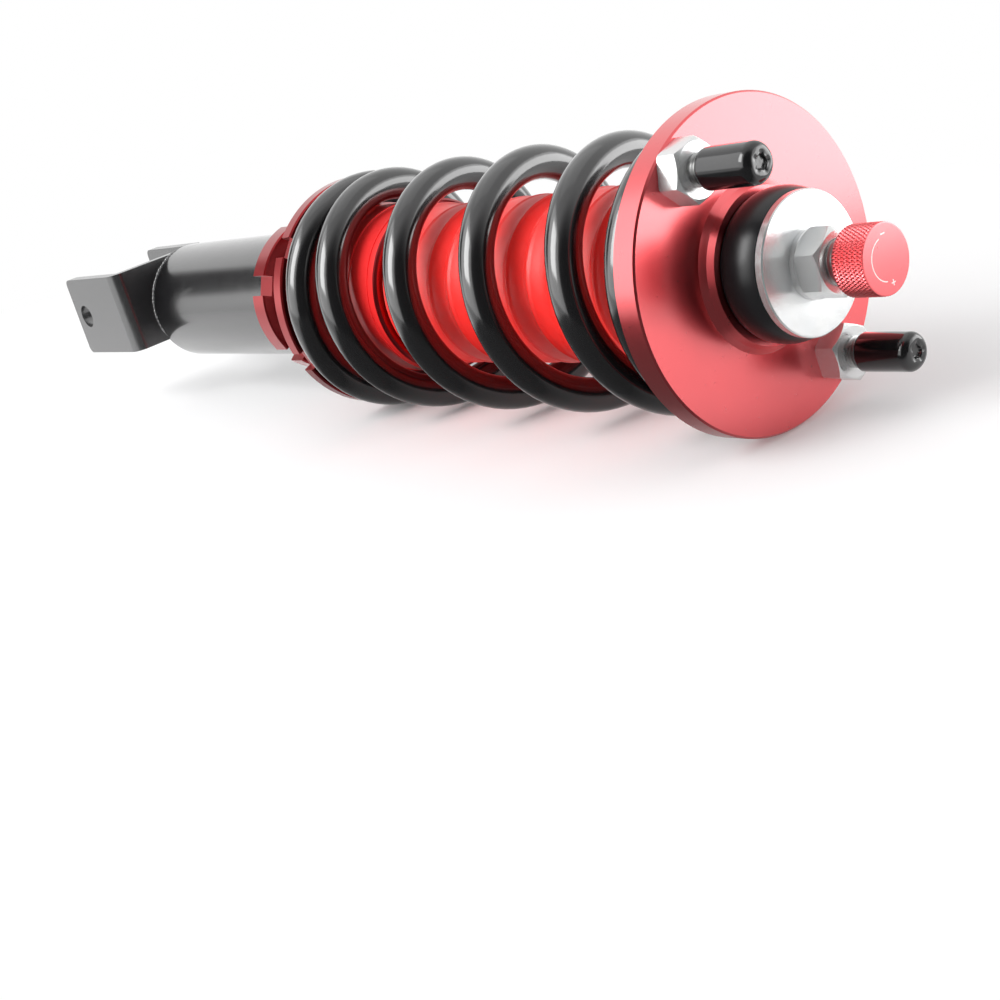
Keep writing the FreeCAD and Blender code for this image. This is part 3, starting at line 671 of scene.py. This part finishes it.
def stud_cap(name, body, centre):
    """A dipped cap, whose rounded end has a star of creases round a pit."""
    low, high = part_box(name)
    start, end = low[0], high[0]
    r = (high[1] - low[1]) / 2
    bore = 4.9 * MM
    wall_end = 1.6 * MM
    y, z = centre
    segments = 120
    profile = [(start, bore), (start, r - 0.35 * MM), (start + 0.4 * MM, r + 0.02 * MM),
               (start + 1.2 * MM, r), (end - 8.0 * MM, r), (end - 3.2 * MM, r - 0.05 * MM)]
    round_r = 2.8 * MM
    pressed_from = len(profile) + 4         # the creases begin half way round the end
    for i in range(1, 9):
        a = math.pi / 2 * i / 8
        profile.append((end - round_r + round_r * math.sin(a), r - round_r + round_r * math.cos(a)))
    flat_r = profile[-1][1]
    for share in (0.85, 0.74, 0.69, 0.64, 0.59, 0.54, 0.48, 0.3, 0.12):
        profile.append((end - 0.1 * MM, flat_r * share))
    bm = bmesh.new()
    rings = []
    for index, (x, radius) in enumerate(profile):
        ring = []
        for i in range(segments):
            angle = math.tau * i / segments
            depth = 0.0
            if index >= pressed_from:
                share = radius / flat_r
                spoke = 0.5 + 0.5 * math.cos(5 * angle)
                crease = 0.45 * (spoke ** 2) * max(0.0, 1 - max(0.0, share - 0.55) / 0.6)
                pit = min(1.0, max(0.0, (0.62 + 0.12 * spoke - share) / 0.14))
                depth = max(crease, pit) * MM
            wobble = 0.05 * MM * math.sin(3 * angle + 9 * (x - start) / (end - start))
            skin = radius + (wobble if index > 1 else 0)
            ring.append(bm.verts.new(on_axis(x - depth, skin, angle, y, z)))
        rings.append(ring)
    tip = bm.verts.new(on_axis(end - 1.15 * MM, 0, 0, y, z))
    for a, b in zip(rings, rings[1:]):
        for i in range(segments):
            j = (i + 1) % segments
            bm.faces.new([a[i], a[j], b[j], b[i]])
    last = rings[-1]
    for i in range(segments):
        bm.faces.new([last[i], last[(i + 1) % segments], tip])
    bore_end = [bm.verts.new(on_axis(end - wall_end, bore, math.tau * i / segments, y, z))
                for i in range(segments)]
    for i in range(segments):
        j = (i + 1) % segments
        bm.faces.new([rings[0][j], rings[0][i], bore_end[i], bore_end[j]])
    bm.faces.new(bore_end)
    obj = new_object(name + "_vinyl", bm, sharp=60)
    place(obj, body, "black_vinyl", name)


# Adjuster knob

def knob():
    """A dial with a 30 degree diamond knurl, a plain face and a hole for its grub screw."""
    low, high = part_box("knob")
    start, end = low[0], high[0]
    r = (high[1] - low[1]) / 2
    segments = 360
    starts = 60
    lead = 1.9 * MM                 # length of one diamond along the axis
    depth = 0.4 * MM
    rows = 60
    edge = 0.45 * MM
    bore = 2.7 * MM
    hole_x = start + 4.0 * MM
    hole_angle = math.radians(-10)
    hole_r = 1.5 * MM
    hole_floor = 7.2 * MM
    bm = bmesh.new()

    def surface(x, angle):
        """Radius of the rim: two crossing sets of helical grooves, and the screw's hole."""
        share = starts * angle / math.tau
        a = abs(((share + x / lead) % 1.0) * 2 - 1)
        b = abs(((share - x / lead) % 1.0) * 2 - 1)
        knurled = r - depth * (1.0 - min(1.0, 1.5 * min(a, b)))
        if math.cos(angle - hole_angle) < 0:
            return knurled
        away = math.hypot(x - hole_x, r * math.sin(angle - hole_angle))
        sunk = min(1.0, max(0.0, (hole_r - away) / (0.2 * MM)))
        return knurled + (hole_floor - knurled) * sunk

    rings = []
    outline = [(start, bore, False), (start, r - edge, False)]
    for i in range(rows + 1):
        outline.append((start + edge + (end - start - 2 * edge) * i / rows, r, True))
    outline += [(end - 0.14 * MM, r - 0.3 * edge, False), (end, r - edge, False),
                (end, r - edge - 0.06 * MM, False), (end, 1.2 * MM, False)]
    for x, radius, cut in outline:
        ring = []
        for i in range(segments):
            angle = math.tau * i / segments
            ring.append(bm.verts.new(on_axis(x, surface(x, angle) if cut else radius, angle)))
        rings.append(ring)
    for a, b in zip(rings, rings[1:]):
        for i in range(segments):
            j = (i + 1) % segments
            bm.faces.new([a[i], a[j], b[j], b[i]])
    bm.faces.new(rings[-1])
    obj = new_object("knob_dial", bm, sharp=25)
    place(obj, "adjuster", "red_anodised", "knob")


# Weld

def weld():
    """A rippled bead along the part of the tube's foot that the fork's web backs."""
    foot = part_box("fork_bracket")[1][0]
    tube_r = (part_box("bracket_tube")[1][1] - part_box("bracket_tube")[0][1]) / 2
    first, last = math.radians(96), math.radians(206)
    stations = 240
    around = 14
    ripple = 2.0 * MM
    out = 0.2 * MM                  # the bead's middle, past the foot and inside the tube's rim
    inset = 0.5 * MM
    bm = bmesh.new()
    rings = []
    for i in range(stations + 1):
        t = i / stations
        angle = first + (last - first) * t
        run = t * (last - first) * tube_r
        wave = abs(math.sin(math.pi * run / ripple))
        size = (0.95 + 0.22 * wave + 0.1 * math.sin(run * 900)) * MM
        size *= min(1.0, 0.35 + 6 * t, 0.35 + 6 * (1 - t))
        ring = []
        for k in range(around):
            a = math.tau * k / around
            ring.append(bm.verts.new(on_axis(foot + out + size * math.cos(a),
                                             tube_r - inset + size * math.sin(a), angle)))
        rings.append(ring)
    for a, b in zip(rings, rings[1:]):
        for k in range(around):
            j = (k + 1) % around
            bm.faces.new([a[k], a[j], b[j], b[k]])
    bm.faces.new(rings[0])
    bm.faces.new(rings[-1])
    obj = new_object("weld_ripples", bm, sharp=60)
    place(obj, "bracket", "black_satin", "weld_bead")


# Stage, light and camera

SCENE_CENTRE = Vector((0.25, 0.015, 0.0))
FRONT_AZIMUTH = -34                 # where the photographer stands, seen from the part


def direction(azimuth, elevation):
    """Unit vector, in degrees from +X towards +Y and up from the horizon."""
    a, e = math.radians(azimuth), math.radians(elevation)
    return Vector((math.cos(e) * math.cos(a), math.cos(e) * math.sin(a), math.sin(e)))


def stage():
    """A white table that the spring's first turn and the plate's rim both rest on."""
    reach = 4.0
    right_reach = 0.42              # beyond it the right-hand lamps shine past the table's edge
    gap = 0.0004
    plate_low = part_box("top_plate")[0]
    coil_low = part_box("coil_spring")[0]
    first_low = coil_low[0] + WIRE_R
    slope = (plate_low[2] - coil_low[2]) / (plate_low[0] - first_low)
    across = direction(FRONT_AZIMUTH + 90, 0)
    ahead = direction(FRONT_AZIMUTH, 0)
    bm = bmesh.new()
    corners = []
    sides = ((-reach, -reach), (reach, -reach), (reach, right_reach), (-reach, right_reach))
    for forward, side in sides:
        spot = SCENE_CENTRE + ahead * forward + across * side
        spot.z = coil_low[2] - gap + (spot.x - first_low) * slope
        corners.append(bm.verts.new(spot))
    bm.faces.new(corners)
    floor = new_object("pale_floor", bm, smooth=False)
    floor.data.materials.append(table_white())


def table_white():
    """White paint that goes to plain white away from the part, with a painted dark reflection in
    front of it.
    """
    white_from, white_to = 0.05, 0.32       # distances from the part, which is long along X
    front_from, front_to = 0.03, -0.03      # the painted dark reflection's edge along Y
    foot_from, foot_to = 0.11, 0.17         # and along X, past the bracket
    painted_reflection_strength = 0.13
    s = Shader("table_white")
    s.set(Roughness=0.7)
    s.bsdf.inputs["Base Color"].default_value = (0.9, 0.9, 0.905, 1)
    away = s.distance(SCENE_CENTRE, (0.45, 1.0, 1.0))
    far = s.ramp(away, 0.0, 1.0, white_from, white_to)
    white = s.node("ShaderNodeEmission", Strength=1.0).outputs["Emission"]
    table = s.blend(s.product(far, s.seen()), s.bsdf.outputs["BSDF"], white)
    place_of = s.axes()
    front = s.product(s.ramp(place_of["Y"], 0.0, 1.0, front_from, front_to),
                      s.ramp(place_of["X"], 0.0, 1.0, foot_from, foot_to))
    # Painted dark reflection: a dim glow, painted in front of the part, that only mirrors see
    painted_dark_reflection = s.node("ShaderNodeEmission", Strength=painted_reflection_strength).outputs["Emission"]
    mirrored = s.node("ShaderNodeLightPath").outputs["Is Glossy Ray"]
    shown = s.blend(s.product(front, mirrored), table, painted_dark_reflection)
    s.link(shown, s.tree.nodes["Material Output"].inputs["Surface"])
    return s.material


def softbox(name, azimuth, elevation, distance, wide, high, brightness):
    """A rectangular lamp that spans the given angles and is as bright as so many whites."""
    light = bpy.data.lights.new(name, "AREA")
    light.shape = "RECTANGLE"
    light.size = 2 * distance * math.tan(math.radians(wide / 2))
    light.size_y = 2 * distance * math.tan(math.radians(high / 2))
    light.energy = brightness * math.pi * light.size * light.size_y
    obj = bpy.data.objects.new(name, light)
    bpy.context.scene.collection.objects.link(obj)
    toward = direction(azimuth, elevation)
    obj.location = SCENE_CENTRE + toward * distance
    obj.rotation_euler = (-toward).to_track_quat("-Z", "Y").to_euler()
    obj.visible_camera = False


# Each lamp's bearing and height in degrees, distance in metres, width and height in degrees, and
# brightness
LAMPS = {
    "left": (FRONT_AZIMUTH - 74, 38, 1.7, 30, 34, 6.2),
    "left_fill": (FRONT_AZIMUTH - 80, 22, 2.0, 72, 76, 1.3),
    "right": (FRONT_AZIMUTH + 90, -4, 1.7, 38, 40, 2.3),
    "right_fill": (FRONT_AZIMUTH + 84, -6, 2.0, 60, 60, 1.2),
    "above": (120, 75, 1.8, 50, 40, 0.3),
}


def room():
    """White room that mirrors dark in two places: by the photographer, and to the far left."""
    lit = 0.62                      # what the room gives to matt surfaces
    darkest = 0.07
    world = bpy.data.worlds.new("studio")
    bpy.context.scene.world = world
    world.use_nodes = True
    tree = world.node_tree
    link = tree.links.new
    background = tree.nodes["Background"]
    path = tree.nodes.new("ShaderNodeLightPath")
    coordinates = tree.nodes.new("ShaderNodeTexCoord")

    def dark_side(toward, edge, core):
        """One, falling smoothly to the darkest level round a direction, by the angle's cosine."""
        facing = tree.nodes.new("ShaderNodeVectorMath")
        facing.operation = "DOT_PRODUCT"
        facing.inputs[1].default_value = toward
        link(coordinates.outputs["Generated"], facing.inputs[0])
        shade = tree.nodes.new("ShaderNodeMapRange")
        shade.interpolation_type = "SMOOTHSTEP"
        shade.inputs["From Min"].default_value = edge
        shade.inputs["From Max"].default_value = core
        shade.inputs["To Min"].default_value = 1.0
        shade.inputs["To Max"].default_value = darkest
        link(facing.outputs["Value"], shade.inputs["Value"])
        return shade.outputs["Result"]

    shade = tree.nodes.new("ShaderNodeMath")
    shade.operation = "MULTIPLY"
    link(dark_side(direction(FRONT_AZIMUTH, 4), 0.35, 0.8), shade.inputs[0])
    link(dark_side(direction(FRONT_AZIMUTH - 128, 20), 0.965, 0.993), shade.inputs[1])
    mirrored = tree.nodes.new("ShaderNodeMix")
    link(path.outputs["Is Glossy Ray"], mirrored.inputs["Factor"])
    mirrored.inputs["A"].default_value = lit
    link(shade.outputs["Value"], mirrored.inputs["B"])
    white = tree.nodes.new("ShaderNodeMix")
    link(path.outputs["Is Camera Ray"], white.inputs["Factor"])
    link(mirrored.outputs["Result"], white.inputs["A"])
    white.inputs["B"].default_value = 1.0
    link(white.outputs["Result"], background.inputs["Strength"])
    background.inputs["Color"].default_value = (1, 1, 1, 1)


def camera():
    """The photograph's viewpoint: right, up and back are the camera's own axes."""
    right = Vector((0.62016, 0.73392, -0.27712))
    up = Vector((-0.06769, 0.40201, 0.91316))
    back = Vector((0.78155, -0.54755, 0.29898))
    viewpoint = Vector((0.7330, -0.3418, 0.0990))
    data = bpy.data.cameras.new("photo_camera")
    data.lens = 59.23
    data.sensor_width = 36.0
    data.clip_end = 100.0
    obj = bpy.data.objects.new("photo_camera", data)
    bpy.context.scene.collection.objects.link(obj)
    turn = Matrix((right, up, back)).transposed()
    obj.matrix_world = Matrix.Translation(viewpoint) @ turn.to_4x4()
    bpy.context.scene.camera = obj


make_materials()
dress_nodes()
coil_spring()
dust_boot()
body_thread()
rod()
studs()
upper_bush()
lower_bush()
bump_stop()
spring_pad()
stud_cap("stud_cap_upper", "upper_cap", stud_centres()[0])
stud_cap("stud_cap_lower", "lower_cap", stud_centres()[1])
knob()
weld()
stage()
for lamp, values in LAMPS.items():
    softbox(lamp, *values)
room()
camera()
bpy.context.scene.view_settings.view_transform = "Standard"
